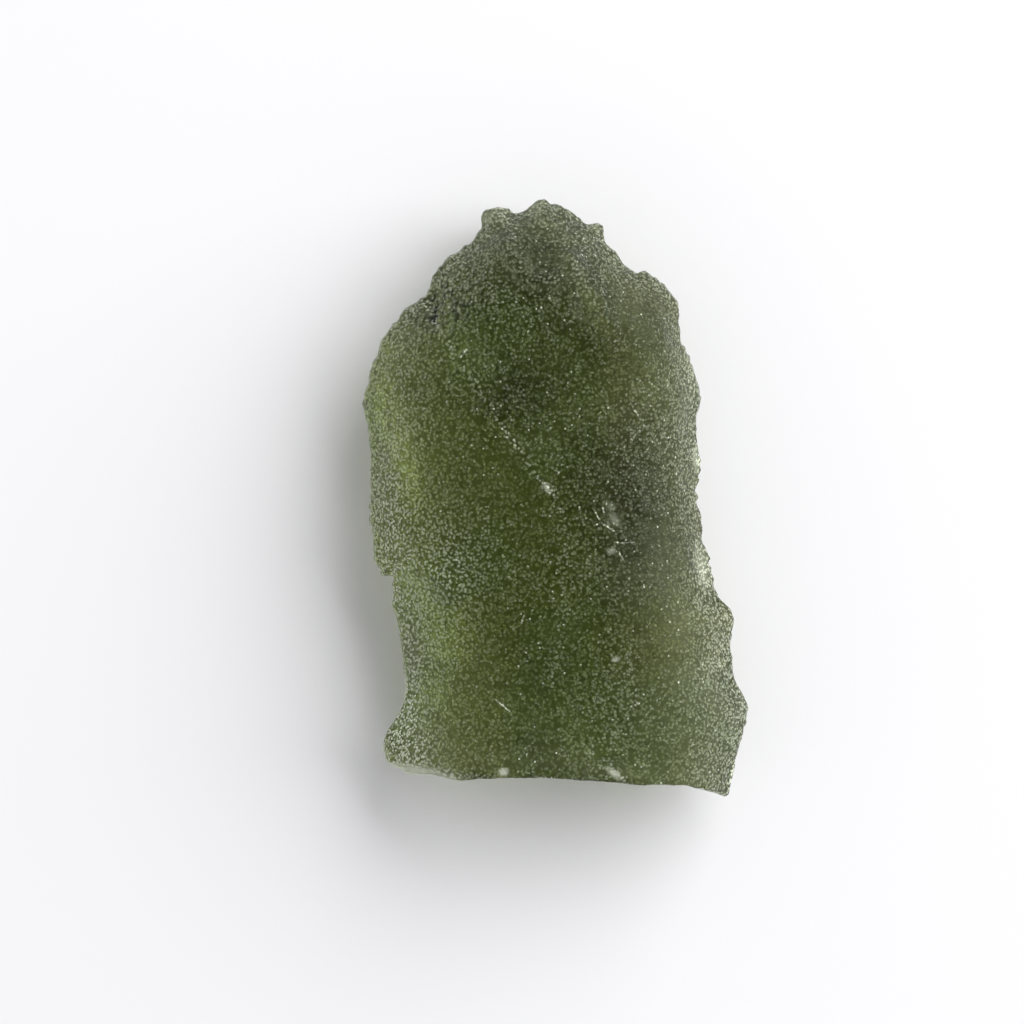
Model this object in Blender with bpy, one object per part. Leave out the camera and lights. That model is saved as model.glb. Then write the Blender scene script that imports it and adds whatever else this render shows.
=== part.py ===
# A raw moldavite: one arch-shaped flake of natural bottle-green glass, in one piece.
# It lies on its back with +Z up, its pointed crown towards +Y and its broken end at -Y.
# The origin is under the middle of its outline, on the surface that it rests on.

import math

import bmesh
import bpy
import numpy as np

# Driving dimensions, in metres
STONE_LENGTH = 0.0300
STONE_WIDTH = 0.0194
RIM_THICKNESS = 0.00065
CROWN_RIM_EXTRA = 0.0015  # the rim round the crown is blunt: this much thicker
UPPER_RISE = 0.0037  # the crest of the upper face above the rim
LOWER_DROP = 0.0023  # the belly of the lower face below the rim, before it is flattened

# How finely the block of glass is divided across, along and through before it is shaped
DIVISIONS = (38, 50, 5)

MM = 0.001

# The four stretches of the outline seen from above, in millimetres, corner to corner.
# The left and right flanks run from the broken end up to the shoulders.
LEFT_FLANK = (
    (-8.45, -13.25), (-8.62, -12.7), (-8.6, -12.2), (-8.4, -11.7), (-7.95, -11.0),
    (-7.6, -10.25), (-7.5, -9.45), (-7.6, -8.4), (-7.7, -7.4), (-7.8, -6.6),
    (-7.95, -5.95), (-8.15, -5.35), (-8.25, -4.5), (-8.35, -4.1), (-8.8, -4.0),
    (-8.95, -3.7), (-9.15, -3.5), (-9.2, -2.9), (-9.2, -2.05), (-9.35, -1.65),
    (-9.3, -0.8), (-9.4, 0.2), (-9.3, 1.25), (-9.3, 2.05), (-9.45, 2.9),
    (-9.55, 3.7), (-9.7, 4.3), (-9.65, 5.15), (-9.4, 6.15), (-9.0, 7.2),
    (-8.7, 8.0), (-8.25, 8.75), (-7.75, 9.25), (-7.15, 9.7), (-6.6, 10.05),
)
RIGHT_FLANK = (
    (8.5, -15.0), (8.7, -14.8), (8.8, -14.2), (9.05, -13.35), (9.4, -12.55),
    (9.6, -11.7), (9.7, -10.9), (9.6, -10.25), (9.2, -9.45), (8.95, -8.3),
    (8.8, -7.4), (8.9, -6.8), (9.05, -6.15), (8.9, -5.65), (8.35, -5.15),
    (8.1, -4.5), (8.0, -3.9), (7.75, -3.1), (7.4, -2.05), (7.35, -1.05),
    (7.15, 0.4), (7.25, 1.35), (7.3, 1.85), (7.25, 2.45), (7.1, 3.3),
    (7.2, 4.1), (7.35, 4.85), (7.3, 5.55), (7.0, 6.15), (6.85, 6.8),
    (6.5, 7.6), (6.4, 8.1), (6.25, 8.75), (6.25, 9.25), (6.2, 9.75),
    (5.85, 10.2), (5.4, 10.7),
)
BROKEN_END = (
    (-8.45, -13.25), (-8.05, -13.57), (-7.5, -13.85), (-7.05, -13.92), (-6.3, -13.9),
    (-5.6, -14.0), (-4.8, -14.1), (-3.9, -14.0),
    (-2.6, -13.95), (-0.55, -13.95), (1.5, -14.1), (3.55, -14.3), (5.4, -14.35),
    (6.4, -14.4), (7.25, -14.65), (7.95, -14.85), (8.5, -15.0),
)
CROWN = (
    (-6.6, 10.05), (-6.4, 10.5), (-6.2, 11.1), (-5.8, 11.65), (-5.3, 12.1),
    (-4.8, 12.3), (-4.45, 12.65), (-4.15, 13.05), (-3.75, 13.55), (-3.75, 14.1),
    (-3.5, 14.45), (-3.0, 14.55), (-2.4, 14.5), (-2.1, 14.3), (-1.6, 14.4),
    (-1.2, 14.65), (-0.95, 14.85), (-0.6, 15.0), (-0.15, 14.75), (0.4, 14.65),
    (0.9, 14.35), (1.3, 13.9), (1.8, 13.75), (2.35, 13.6), (2.5, 12.95),
    (2.75, 12.55), (3.1, 12.25), (3.35, 11.85), (3.8, 11.45), (4.25, 11.4),
    (5.0, 11.15), (5.4, 10.7),
)

# The middle that the outline shrinks towards, in millimetres
MIDDLE = (-0.5, 0.0)
# The stone broke off a longer flake, whose rim went on past the broken end like this
LOST_END = (
    (8.5, -15.0), (9.3, -17.5), (8.0, -21.0), (4.0, -23.0), (0.0, -23.5),
    (-4.0, -23.0), (-8.0, -20.5), (-9.2, -17.0), (-8.45, -13.25),
)
# Each face climbs from the rim over this width, and the higher its power the sooner
CLIMB_WIDTH = 6.8
UPPER_CLIMB = 2.7
LOWER_CLIMB = 2.1

# Where the rim starts to thicken towards the crown and where it is at its thickest
CROWN_RIM_RUN = (3.0, 10.0)

# Ridges of the upper face, in millimetres: points along it, half width, height.
# The first winds from the left shoulder down the middle, and the second is the low
# shelf that fills out the right flank.
RIDGES = (
    (
        (
            (-6.5, 9.7), (-5.5, 7.7), (-4.3, 6.0), (-2.8, 3.7),
            (-0.3, 0.2), (0.5, -1.6), (0.25, -6.1), (-0.3, -9.2),
        ),
        1.6,
        0.08,
    ),
    (((4.6, 7.6), (5.3, 5.0), (5.4, 1.0), (5.5, -2.5), (6.0, -7.0), (6.0, -11.5)), 2.8, 0.40),
    (((3.3, -4.4), (3.4, -7.1), (3.8, -10.2), (4.3, -13.6)), 1.4, 0.10),
    (((-2.6, 12.5), (-1.3, 10.5), (0.0, 10.5), (0.8, 11.6)), 0.8, 0.30),
    (((0.8, 11.6), (1.9, 10.0), (2.5, 8.4)), 0.8, 0.26),
    (((-8.3, -3.9), (-6.6, -3.7), (-5.2, -4.6)), 0.8, 0.28),
)

# Scooped hollows of the upper face, in millimetres: x, y, half width, half length, depth
UPPER_SCOOPS = (
    (-0.8, 12.1, 1.7, 1.45, 0.24),  # the bowl under the crown's peak
    (0.1, 10.0, 0.75, 0.65, 0.16),
    (1.5, 9.2, 0.85, 0.75, 0.22),
    (2.2, 8.1, 0.70, 0.60, 0.15),
    (-6.0, 9.3, 0.50, 1.20, 0.40),  # the fold behind the left shoulder
    (2.6, -13.7, 1.30, 1.10, 0.55),  # chips along the broken end
    (-2.6, -13.9, 0.60, 0.55, 0.35),
    (-6.3, -13.9, 2.20, 0.75, 0.60),
    (7.8, -3.3, 1.00, 1.30, 0.45),  # chips along the right edge
    (7.3, 1.7, 0.60, 0.90, 0.40),
    (2.8, -0.9, 0.50, 0.85, 0.20),
    (2.4, -2.9, 0.60, 0.45, 0.18),
    (2.2, -5.6, 1.80, 2.80, 0.12),  # the dished hollow beside the main crest
)
# Scooped hollows of the lower face, which the stone hides while it lies on it
LOWER_SCOOPS = (
    (-4.6, 6.8, 2.60, 2.90, 0.45),
    (4.3, 6.2, 2.30, 3.10, 0.40),
    (-5.4, -7.6, 2.50, 3.20, 0.45),
    (5.6, -8.6, 2.60, 3.00, 0.45),
    (0.3, -15.2, 8.50, 5.20, 0.80),
    (-7.0, 0.6, 1.60, 2.80, 0.30),
    (6.3, -0.6, 1.40, 2.40, 0.30),
)

# The upper scoops are freshly chipped and crisp at the edge, and the lower ones worn round
UPPER_SCOOP_POWER = 1
LOWER_SCOOP_POWER = 2

# Lumpy relief on both faces: the size of a lump and its height, in millimetres, and the
# seed of each face's first size
LUMPS = ((5.2, 0.20), (2.4, 0.11), (1.2, 0.06))
UPPER_SEED = 11
LOWER_SEED = 35
# The upper face sways up and down besides: height and size in millimetres, and seed
SWAY = (0.30, 6.5, 71)

# Relief fades out over this last stretch before the rim, in millimetres, so that the rim
# stays whole. This share of a scoop is left right at the rim, and chips it.
RELIEF_FADE = 1.1
SCOOP_AT_RIM = 0.35

# How far the rim bulges at half its thickness, in millimetres
RIM_BULGE = 0.16
# The broken end leans out this far towards its foot, and bulges this far at half height
END_LEAN = 0.12
END_LEAN_POWER = 1.5
END_BULGE = 0.10

# The resting spot is flat where the belly would reach below this share of its drop
FLAT_SPOT_SHARE = 0.97

GREEN_GLASS = (0.105, 0.140, 0.052, 1.0)
ETCHED_ROUGHNESS = 0.42
GLASS_IOR = 1.49
# Edges that turn more than this many degrees stay crisp
CRISP_ANGLE = 40


def clear_scene():
    """Remove whatever the scene holds."""
    for old in list(bpy.data.objects):
        bpy.data.objects.remove(old, do_unlink=True)


def smooth_run(points, steps=12):
    """A Catmull-Rom curve through the points: its length shares, x and y."""
    knots = np.array(points, float)
    before = np.vstack([2 * knots[0] - knots[1], knots[:-1]])[:-1]
    here, after = knots[:-1], knots[1:]
    beyond = np.vstack([knots[2:], 2 * knots[-1] - knots[-2]])
    t = np.linspace(0, 1, steps, endpoint=False)[None, :, None]
    before, here, after, beyond = (k[:, None, :] for k in (before, here, after, beyond))
    bend = (2 * before - 5 * here + 4 * after - beyond) * t**2
    twist = (3 * here - before - 3 * after + beyond) * t**3
    run = (2 * here + (after - before) * t + bend + twist) / 2
    run = np.vstack([run.reshape(-1, 2), knots[-1]])
    length = np.concatenate([[0], np.cumsum(np.linalg.norm(np.diff(run, axis=0), axis=1))])
    return length / length[-1], run[:, 0], run[:, 1]


def along_run(run, share):
    """The points at these shares of a curve's length."""
    shares, x, y = run
    return np.stack([np.interp(share, shares, x), np.interp(share, shares, y)], axis=-1)


def edge_point(across, along):
    """Where the outline lies beyond each point, which runs from -1 to 1 both ways.

    The square's four sides stand for the four stretches of the outline.
    """
    ring = np.maximum(np.maximum(np.abs(across), np.abs(along)), 1e-9)
    across_share = (across / ring + 1) / 2
    along_share = (along / ring + 1) / 2
    left = along_run(smooth_run(LEFT_FLANK), along_share)
    right = along_run(smooth_run(RIGHT_FLANK), along_share)
    end = along_run(smooth_run(BROKEN_END), across_share)
    crown = along_run(smooth_run(CROWN), across_share)
    on_flank = (np.abs(across) >= np.abs(along))[:, None]
    on_left = (across < 0)[:, None]
    on_end = (along < 0)[:, None]
    return np.where(on_flank, np.where(on_left, left, right), np.where(on_end, end, crown))


def plan_position(across, along):
    """Each ring of the square shrinks the outline towards its middle."""
    ring = np.maximum(np.abs(across), np.abs(along))
    return MIDDLE + ring[:, None] * (edge_point(across, along) - MIDDLE)


def rim_distance(plan):
    """A smooth distance from the rim of the whole flake, in millimetres.

    The flake's rim attracts each point as the fourth power of nearness. Beside a long
    straight rim that comes to the true distance, and elsewhere small jogs even out.
    """
    stretches = (LEFT_FLANK, CROWN, RIGHT_FLANK[::-1], LOST_END)
    runs = [np.stack(smooth_run(stretch)[1:], axis=-1) for stretch in stretches]
    total = np.zeros(len(plan))
    for run in runs:
        middles = (run[1:] + run[:-1]) / 2
        lengths = np.linalg.norm(np.diff(run, axis=0), axis=1)
        away = np.linalg.norm(plan[:, None, :] - middles[None, :, :], axis=2)
        total += (lengths / np.maximum(away, 0.04) ** 4).sum(axis=1)
    return (total * 2 / math.pi) ** (-1 / 3)


def lattice_value(column, row, layer, seed):
    """A repeatable number from -1 to 1 for each corner of a cubic lattice."""
    mixed = column * 374761393 + row * 668265263 + layer * 2147483647 + seed * 974634777
    mixed = (mixed ^ (mixed >> 13)) * 1274126177
    mixed = mixed ^ (mixed >> 16)
    return (mixed & 0xFFFF) / 32767.5 - 1


def lumps(points, size, seed):
    """Smooth lumps of this size: lattice values blended between their corners."""
    scaled = points / size + 50.0
    corner = np.floor(scaled).astype(np.int64)
    part = scaled - corner
    part = part**3 * (part * (part * 6 - 15) + 10)
    total = np.zeros(len(points))
    for dx in (0, 1):
        for dy in (0, 1):
            for dz in (0, 1):
                step = np.array((dx, dy, dz))
                share = np.prod(np.where(step == 1, part, 1 - part), axis=1)
                total += share * lattice_value(*(corner + step).T, seed)
    return total


def scooped(plan, scoops, power):
    """How deep the scoops bite at each point.

    Each is a paraboloid to this power: 1 leaves a crisp edge, and 2 rounds it.
    """
    depth = np.zeros(len(plan))
    for x, y, half_width, half_length, deep in scoops:
        reach = ((plan[:, 0] - x) / half_width) ** 2 + ((plan[:, 1] - y) / half_length) ** 2
        depth = np.maximum(depth, deep * np.clip(1 - reach, 0, 1) ** power)
    return depth


def ridged(plan):
    """How far the ridges stand up at each point. Each has a rounded crest and foot."""
    height = np.zeros(len(plan))
    for points, half_width, crest in RIDGES:
        line = np.array(points)
        nearest = np.full(len(plan), np.inf)
        for start, end in zip(line[:-1], line[1:]):
            run = end - start
            share = np.clip((plan - start) @ run / (run @ run), 0, 1)
            away = np.linalg.norm(plan - start - share[:, None] * run, axis=1)
            nearest = np.minimum(nearest, away)
        height = height + crest * np.clip(1 - (nearest / half_width) ** 2, 0, 1) ** 2
    return height


def faces_at(plan):
    """Heights of the upper and lower faces above the rim's middle, in millimetres."""
    rise = UPPER_RISE / MM
    drop = LOWER_DROP / MM
    thin = RIM_THICKNESS / MM
    begins, whole = CROWN_RIM_RUN
    rising = np.clip((plan[:, 1] - begins) / (whole - begins), 0, 1)
    half_rim = (thin + CROWN_RIM_EXTRA / MM * rising**2 * (3 - 2 * rising)) / 2
    from_rim = rim_distance(plan)
    climb = np.clip(from_rim / CLIMB_WIDTH, 0, 1)
    upper = rise * (1 - (1 - climb) ** UPPER_CLIMB)
    lower = -drop * (1 - (1 - climb) ** LOWER_CLIMB)

    inland = np.clip(from_rim / RELIEF_FADE, 0, 1)
    flat = np.column_stack([plan, np.zeros(len(plan))])
    for number, (size, height) in enumerate(LUMPS):
        upper = upper + height * inland * lumps(flat, size, UPPER_SEED + number)
        lower = lower + height * inland * lumps(flat, size, LOWER_SEED + number)
    upper = upper + inland * ridged(plan)
    upper = upper - scooped(plan, UPPER_SCOOPS, UPPER_SCOOP_POWER) * np.minimum(1, SCOOP_AT_RIM + inland)
    lower = lower + scooped(plan, LOWER_SCOOPS, LOWER_SCOOP_POWER) * inland
    lower = np.minimum(lower, 0) - half_rim
    flat_spot = -drop * FLAT_SPOT_SHARE - thin / 2
    return np.maximum(upper, 0) + half_rim, np.maximum(lower, flat_spot)


def shape_glass(block):
    """Carry each point of the divided block to its place on the stone.

    The block's top and bottom become the two faces, and its four sides the rim.
    """
    across, along = 2 * block[:, 0], 2 * block[:, 1]
    through = block[:, 2] + 0.5
    plan = plan_position(across, along)
    upper, lower = faces_at(plan)

    # The rim bulges at half its thickness, and the broken end leans a little
    rim = np.maximum(np.abs(across), np.abs(along)) > 1 - 1e-6
    round_edge = np.where(rim, np.sin(math.pi * through), 0)
    thickness = upper - lower
    outwards = plan / np.linalg.norm(plan, axis=1)[:, None]
    broken = np.where(along < -1 + 1e-6, 1, 0) * np.clip(thickness - RIM_THICKNESS / MM, 0, 1)
    plan = plan + (RIM_BULGE * round_edge * (1 - broken))[:, None] * outwards
    plan[:, 1] += broken * (END_LEAN * through**END_LEAN_POWER - END_BULGE * round_edge)

    reach, size, seed = SWAY
    sway = reach * lumps(np.column_stack([plan, np.zeros(len(plan))]), size, seed)
    height = lower + thickness * through + sway * through
    return np.column_stack([plan, height])


def settle(points):
    """Scale the outline to its real width and length, and stand the stone at the origin."""
    low, high = points.min(axis=0), points.max(axis=0)
    points[:, :2] -= (low[:2] + high[:2]) / 2
    points[:, 0] *= STONE_WIDTH / MM / (high[0] - low[0])
    points[:, 1] *= STONE_LENGTH / MM / (high[1] - low[1])
    points[:, 2] -= low[2]
    return points * MM


def divided_block():
    """A cube whose edges along each axis are cut into equal steps."""
    block = bmesh.new()
    bmesh.ops.create_cube(block, size=1.0)
    for axis, steps in enumerate(DIVISIONS):
        edges = [
            edge
            for edge in block.edges
            if abs(edge.verts[0].co[axis] - edge.verts[1].co[axis]) > 0.5
        ]
        bmesh.ops.subdivide_edges(block, edges=edges, cuts=steps - 1, use_grid_fill=True)
    return block


def glass_material():
    """Bottle-green natural glass with an etched skin."""
    material = bpy.data.materials.new("moldavite_glass")
    material.use_nodes = True
    shader = material.node_tree.nodes["Principled BSDF"]
    shader.inputs["Base Color"].default_value = GREEN_GLASS
    shader.inputs["Metallic"].default_value = 0.0
    shader.inputs["Roughness"].default_value = ETCHED_ROUGHNESS
    shader.inputs["IOR"].default_value = GLASS_IOR
    return material


def make_stone(collection):
    """The whole moldavite as one closed solid."""
    block = divided_block()
    mesh = bpy.data.meshes.new("moldavite")
    block.to_mesh(mesh)
    block.free()
    points = np.empty(len(mesh.vertices) * 3, np.float32)
    mesh.vertices.foreach_get("co", points)
    points = settle(shape_glass(points.reshape(-1, 3).astype(float)))
    mesh.vertices.foreach_set("co", points.astype(np.float32).ravel())
    mesh.update()
    mesh.shade_smooth()
    mesh.set_sharp_from_angle(angle=math.radians(CRISP_ANGLE))
    mesh.materials.append(glass_material())
    stone = bpy.data.objects.new("moldavite", mesh)
    collection.objects.link(stone)
    return stone


def main():
    clear_scene()
    collection = bpy.data.collections.new("raw_moldavite")
    bpy.context.scene.collection.children.link(collection)
    make_stone(collection)


main()
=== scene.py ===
import math

import bmesh
import bpy
import numpy as np
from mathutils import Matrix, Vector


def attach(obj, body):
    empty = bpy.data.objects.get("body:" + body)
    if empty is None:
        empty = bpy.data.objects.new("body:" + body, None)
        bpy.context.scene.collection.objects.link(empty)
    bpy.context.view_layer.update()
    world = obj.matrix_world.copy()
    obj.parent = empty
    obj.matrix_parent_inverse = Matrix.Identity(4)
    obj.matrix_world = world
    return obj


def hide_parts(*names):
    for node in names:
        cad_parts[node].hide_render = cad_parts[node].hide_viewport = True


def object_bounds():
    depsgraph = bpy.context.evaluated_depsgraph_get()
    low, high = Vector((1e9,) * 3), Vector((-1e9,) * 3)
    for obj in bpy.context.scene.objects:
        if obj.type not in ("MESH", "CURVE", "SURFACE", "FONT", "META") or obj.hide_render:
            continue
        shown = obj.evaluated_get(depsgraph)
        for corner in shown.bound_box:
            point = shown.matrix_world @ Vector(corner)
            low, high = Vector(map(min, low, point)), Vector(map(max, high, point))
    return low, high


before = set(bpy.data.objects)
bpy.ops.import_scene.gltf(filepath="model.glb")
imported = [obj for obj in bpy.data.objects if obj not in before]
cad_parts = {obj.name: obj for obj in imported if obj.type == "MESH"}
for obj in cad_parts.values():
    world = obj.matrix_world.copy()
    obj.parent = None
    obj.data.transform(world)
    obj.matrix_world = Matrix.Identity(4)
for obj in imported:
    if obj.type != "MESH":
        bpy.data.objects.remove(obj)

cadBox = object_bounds()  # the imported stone's lowest and highest corners, in metres
mm = 0.001
print("frame loaded, stone box:", cadBox)

# Everything about the stone's form, in millimetres. It is one flake of natural glass,
# lying on its back: x to the right, y towards the crown, z up out of the broad face.
stone = {
    "node": "moldavite",
    "body": "root",
    "slot": "moldavite_glass",
    "cellsAcross": 176,
    "cellsAlong": 240,
    "wallLayers": 7,
    "middle": (-0.5, 0.0),
    "rise": 3.7,  # the crest above the rim
    "drop": 2.3,  # the belly below the rim
    "rimThickness": 0.65,
    "crownRim": (1.5, 3.0, 10.0),  # extra thickness, and the y where it begins and is whole
    "climbWidth": 6.8,
    "upperClimb": 2.7,
    "lowerClimb": 2.1,
    "flatSpotShare": 0.97,
    "wander": (0.30, 6.5, 71),  # slow rise and fall of the rim: height, size, seed
    "lumps": ((5.2, 0.20), (2.4, 0.11), (1.2, 0.06)),  # size, height
    "leftFlank": (
        (-8.45, -13.25), (-8.62, -12.7), (-8.6, -12.2), (-8.4, -11.7), (-7.95, -11.0),
        (-7.6, -10.25), (-7.5, -9.45), (-7.6, -8.4), (-7.7, -7.4), (-7.8, -6.6),
        (-7.95, -5.95), (-8.15, -5.35), (-8.25, -4.5), (-8.35, -4.1), (-8.8, -4.0),
        (-8.95, -3.7), (-9.15, -3.5), (-9.2, -2.9), (-9.2, -2.05), (-9.35, -1.65),
        (-9.3, -0.8), (-9.4, 0.2), (-9.3, 1.25), (-9.3, 2.05), (-9.45, 2.9),
        (-9.55, 3.7), (-9.7, 4.3), (-9.65, 5.15), (-9.4, 6.15), (-9.0, 7.2),
        (-8.7, 8.0), (-8.25, 8.75), (-7.75, 9.25), (-7.15, 9.7), (-6.6, 10.05),
    ),
    "rightFlank": (
        (8.5, -15.0), (8.7, -14.8), (8.8, -14.2), (9.05, -13.35), (9.4, -12.55),
        (9.6, -11.7), (9.7, -10.9), (9.6, -10.25), (9.2, -9.45), (8.95, -8.3),
        (8.8, -7.4), (8.9, -6.8), (9.05, -6.15), (8.9, -5.65), (8.35, -5.15),
        (8.1, -4.5), (8.0, -3.9), (7.75, -3.1), (7.4, -2.05), (7.35, -1.05),
        (7.15, 0.4), (7.25, 1.35), (7.3, 1.85), (7.25, 2.45), (7.1, 3.3),
        (7.2, 4.1), (7.35, 4.85), (7.3, 5.55), (7.0, 6.15), (6.85, 6.8),
        (6.5, 7.6), (6.4, 8.1), (6.25, 8.75), (6.25, 9.25), (6.2, 9.75),
        (5.85, 10.2), (5.4, 10.7),
    ),
    "brokenEnd": (
        (-8.45, -13.25), (-8.05, -13.57), (-7.5, -13.85), (-7.05, -13.92), (-6.3, -13.9),
        (-5.6, -14.0), (-4.8, -14.1), (-3.9, -14.0),
        (-2.6, -13.95), (-0.55, -13.95), (1.5, -14.1), (3.55, -14.3), (5.4, -14.35),
        (6.4, -14.4), (7.25, -14.65), (7.95, -14.85), (8.5, -15.0),
    ),
    "crown": (
        (-6.6, 10.05), (-6.4, 10.5), (-6.2, 11.1), (-5.8, 11.65), (-5.3, 12.1),
        (-4.8, 12.3), (-4.45, 12.65), (-4.15, 13.05), (-3.75, 13.55), (-3.75, 14.1),
        (-3.5, 14.45), (-3.0, 14.55), (-2.4, 14.5), (-2.1, 14.3), (-1.6, 14.4),
        (-1.2, 14.65), (-0.95, 14.85), (-0.6, 15.0), (-0.15, 14.75), (0.4, 14.65),
        (0.9, 14.35), (1.3, 13.9), (1.8, 13.75), (2.35, 13.6), (2.5, 12.95),
        (2.75, 12.55), (3.1, 12.25), (3.35, 11.85), (3.8, 11.45), (4.25, 11.4),
        (5.0, 11.15), (5.4, 10.7),
    ),
    # the flake's rim went on past the broken end like this, before it broke
    "lostEnd": (
        (8.5, -15.0), (9.3, -17.5), (8.0, -21.0), (4.0, -23.0), (0.0, -23.5),
        (-4.0, -23.0), (-8.0, -20.5), (-9.2, -17.0), (-8.45, -13.25),
    ),
    # points along the ridge, half width, height
    "ridges": (
        (
            (
                (-6.5, 9.7), (-5.5, 7.7), (-4.3, 6.0), (-2.8, 3.7),
                (-0.3, 0.2), (0.5, -1.6), (0.25, -6.1), (-0.3, -9.2),
            ),
            1.6,
            0.08,
        ),
        (((4.6, 7.6), (5.3, 5.0), (5.4, 1.0), (5.5, -2.5), (6.0, -7.0), (6.0, -11.5)), 2.8, 0.40),
        (((3.3, -4.4), (3.4, -7.1), (3.8, -10.2), (4.3, -13.6)), 1.4, 0.10),
        (((-2.6, 12.5), (-1.3, 10.5), (0.0, 10.5), (0.8, 11.6)), 0.8, 0.30),
        (((0.8, 11.6), (1.9, 10.0), (2.5, 8.4)), 0.8, 0.26),
        (((-8.3, -3.9), (-6.6, -3.7), (-5.2, -4.6)), 0.8, 0.28),
    ),
    # x, y, half width, half length, depth
    "upperScoops": (
        (-0.8, 12.1, 1.7, 1.45, 0.24),
        (0.1, 10.0, 0.75, 0.65, 0.16),
        (1.5, 9.2, 0.85, 0.75, 0.22),
        (2.2, 8.1, 0.70, 0.60, 0.15),
        (-6.0, 9.3, 0.50, 1.20, 0.40),
        (2.6, -13.7, 1.30, 1.10, 0.55),
        (-2.6, -13.9, 0.60, 0.55, 0.35),
        (-6.3, -13.9, 2.20, 0.75, 0.60),
        (7.8, -3.3, 1.00, 1.30, 0.45),
        (7.3, 1.7, 0.60, 0.90, 0.40),
        (2.8, -0.9, 0.50, 0.85, 0.20),
        (2.4, -2.9, 0.60, 0.45, 0.18),
        (2.2, -5.6, 1.80, 2.80, 0.12),
    ),
    "lowerScoops": (
        (-4.6, 6.8, 2.60, 2.90, 0.45),
        (4.3, 6.2, 2.30, 3.10, 0.40),
        (-5.4, -7.6, 2.50, 3.20, 0.45),
        (5.6, -8.6, 2.60, 3.00, 0.45),
        (0.3, -15.2, 8.50, 5.20, 0.80),
        (-7.0, 0.6, 1.60, 2.80, 0.30),
        (6.3, -0.6, 1.40, 2.40, 0.30),
    ),
    # etched pits cut as real relief: pit size, depth, seed
    "pits": ((0.85, 0.050, 5), (0.46, 0.034, 6)),
    "rimTeeth": ((0.80, 0.13, 41), (0.42, 0.15, 42), (0.26, 0.14, 43)),  # tooth size, depth, seed
    "teethFadeIn": 14,  # a high power keeps the teeth at the very rim
    # where the rim is calm: y below which the left side smooths, over how far, and the same
    # for x; then the y of the broken end, and over how far
    "calmLeft": (-4.6, 1.0, 2.0, 3.0),
    "calmEnd": (-13.0, 0.8),
    "calmShare": 0.75,
    "pitReach": 0.7,  # of a cell, from the bottom of a pit to its rim
    "pitJitter": 0.42,
    "lumpShift": 50.0,  # cells: where in the endless lattice the stone lies
    "pitShift": 200.0,
    "leastAway": 0.04,  # a point on the rim itself counts as this far from it
    "lumpSeeds": (11, 35),  # upper face, lower face
    "reliefFade": 1.1,  # from the rim to the whole height of lumps and ridges
    "scoopAtRim": 0.35,
    "pitFade": (0.4, 0.15),  # from the rim to whole pits, and the share at the rim itself
    "rimBulge": 0.16,
    "endLean": (0.12, 1.5),  # how far the broken end leans out at the top, and the power
    "endBulge": 0.10,
}


def smoothRun(points, steps=12):
    # a Catmull-Rom curve through the points; returns length shares and positions
    knots = np.array(points, float)
    before = np.vstack([2 * knots[0] - knots[1], knots[:-2]])
    here = knots[:-1]
    after = knots[1:]
    beyond = np.vstack([knots[2:], 2 * knots[-1] - knots[-2]])
    t = np.linspace(0, 1, steps, endpoint=False)[None, :, None]
    before, here, after, beyond = (k[:, None, :] for k in (before, here, after, beyond))
    bend = (2 * before - 5 * here + 4 * after - beyond) * t**2
    twist = (3 * here - before - 3 * after + beyond) * t**3
    run = (2 * here + (after - before) * t + bend + twist) / 2
    run = np.vstack([run.reshape(-1, 2), knots[-1]])
    length = np.concatenate([[0], np.cumsum(np.linalg.norm(np.diff(run, axis=0), axis=1))])
    return length / length[-1], run


def alongRun(points, share):
    # the position at each share of a curve's length
    shares, run = smoothRun(points)
    return np.stack([np.interp(share, shares, run[:, k]) for k in (0, 1)], axis=-1)


def latticeValue(column, row, seed):
    # a repeatable number from -1 to 1 for each corner of a square lattice
    mixed = column * 374761393 + row * 668265263 + 50 * 2147483647 + seed * 974634777
    mixed = (mixed ^ (mixed >> 13)) * 1274126177
    mixed = mixed ^ (mixed >> 16)
    return (mixed & 0xFFFF) / 32767.5 - 1


def lumpsAt(plan, size, seed):
    # value noise: lattice numbers blended by the quintic t^3(6t^2 - 15t + 10)
    scaled = plan / size + stone["lumpShift"]
    corner = np.floor(scaled).astype(np.int64)
    part = scaled - corner
    part = part**3 * (part * (part * 6 - 15) + 10)
    total = np.zeros(len(plan))
    for dx in (0, 1):
        for dy in (0, 1):
            shareX = part[:, 0] if dx else 1 - part[:, 0]
            shareY = part[:, 1] if dy else 1 - part[:, 1]
            total += shareX * shareY * latticeValue(corner[:, 0] + dx, corner[:, 1] + dy, seed)
    return total


def pitsAt(plan, size, seed):
    # one bowl for each cell of a jittered grid: 1 at the bottom of the bowl, and 0 on the
    # sharp rims half way between bowls, by 1 - (distance to the nearest centre / reach)^2
    scaled = plan / size + stone["pitShift"]
    corner = np.floor(scaled).astype(np.int64)
    nearest = np.full(len(plan), np.inf)
    for dx in (-1, 0, 1):
        for dy in (-1, 0, 1):
            column, row = corner[:, 0] + dx, corner[:, 1] + dy
            x = column + 0.5 + stone["pitJitter"] * latticeValue(column, row, seed)
            y = row + 0.5 + stone["pitJitter"] * latticeValue(column, row, seed + 100)
            nearest = np.minimum(nearest, (scaled[:, 0] - x) ** 2 + (scaled[:, 1] - y) ** 2)
    return np.clip(1 - nearest / stone["pitReach"] ** 2, 0, 1)


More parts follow.
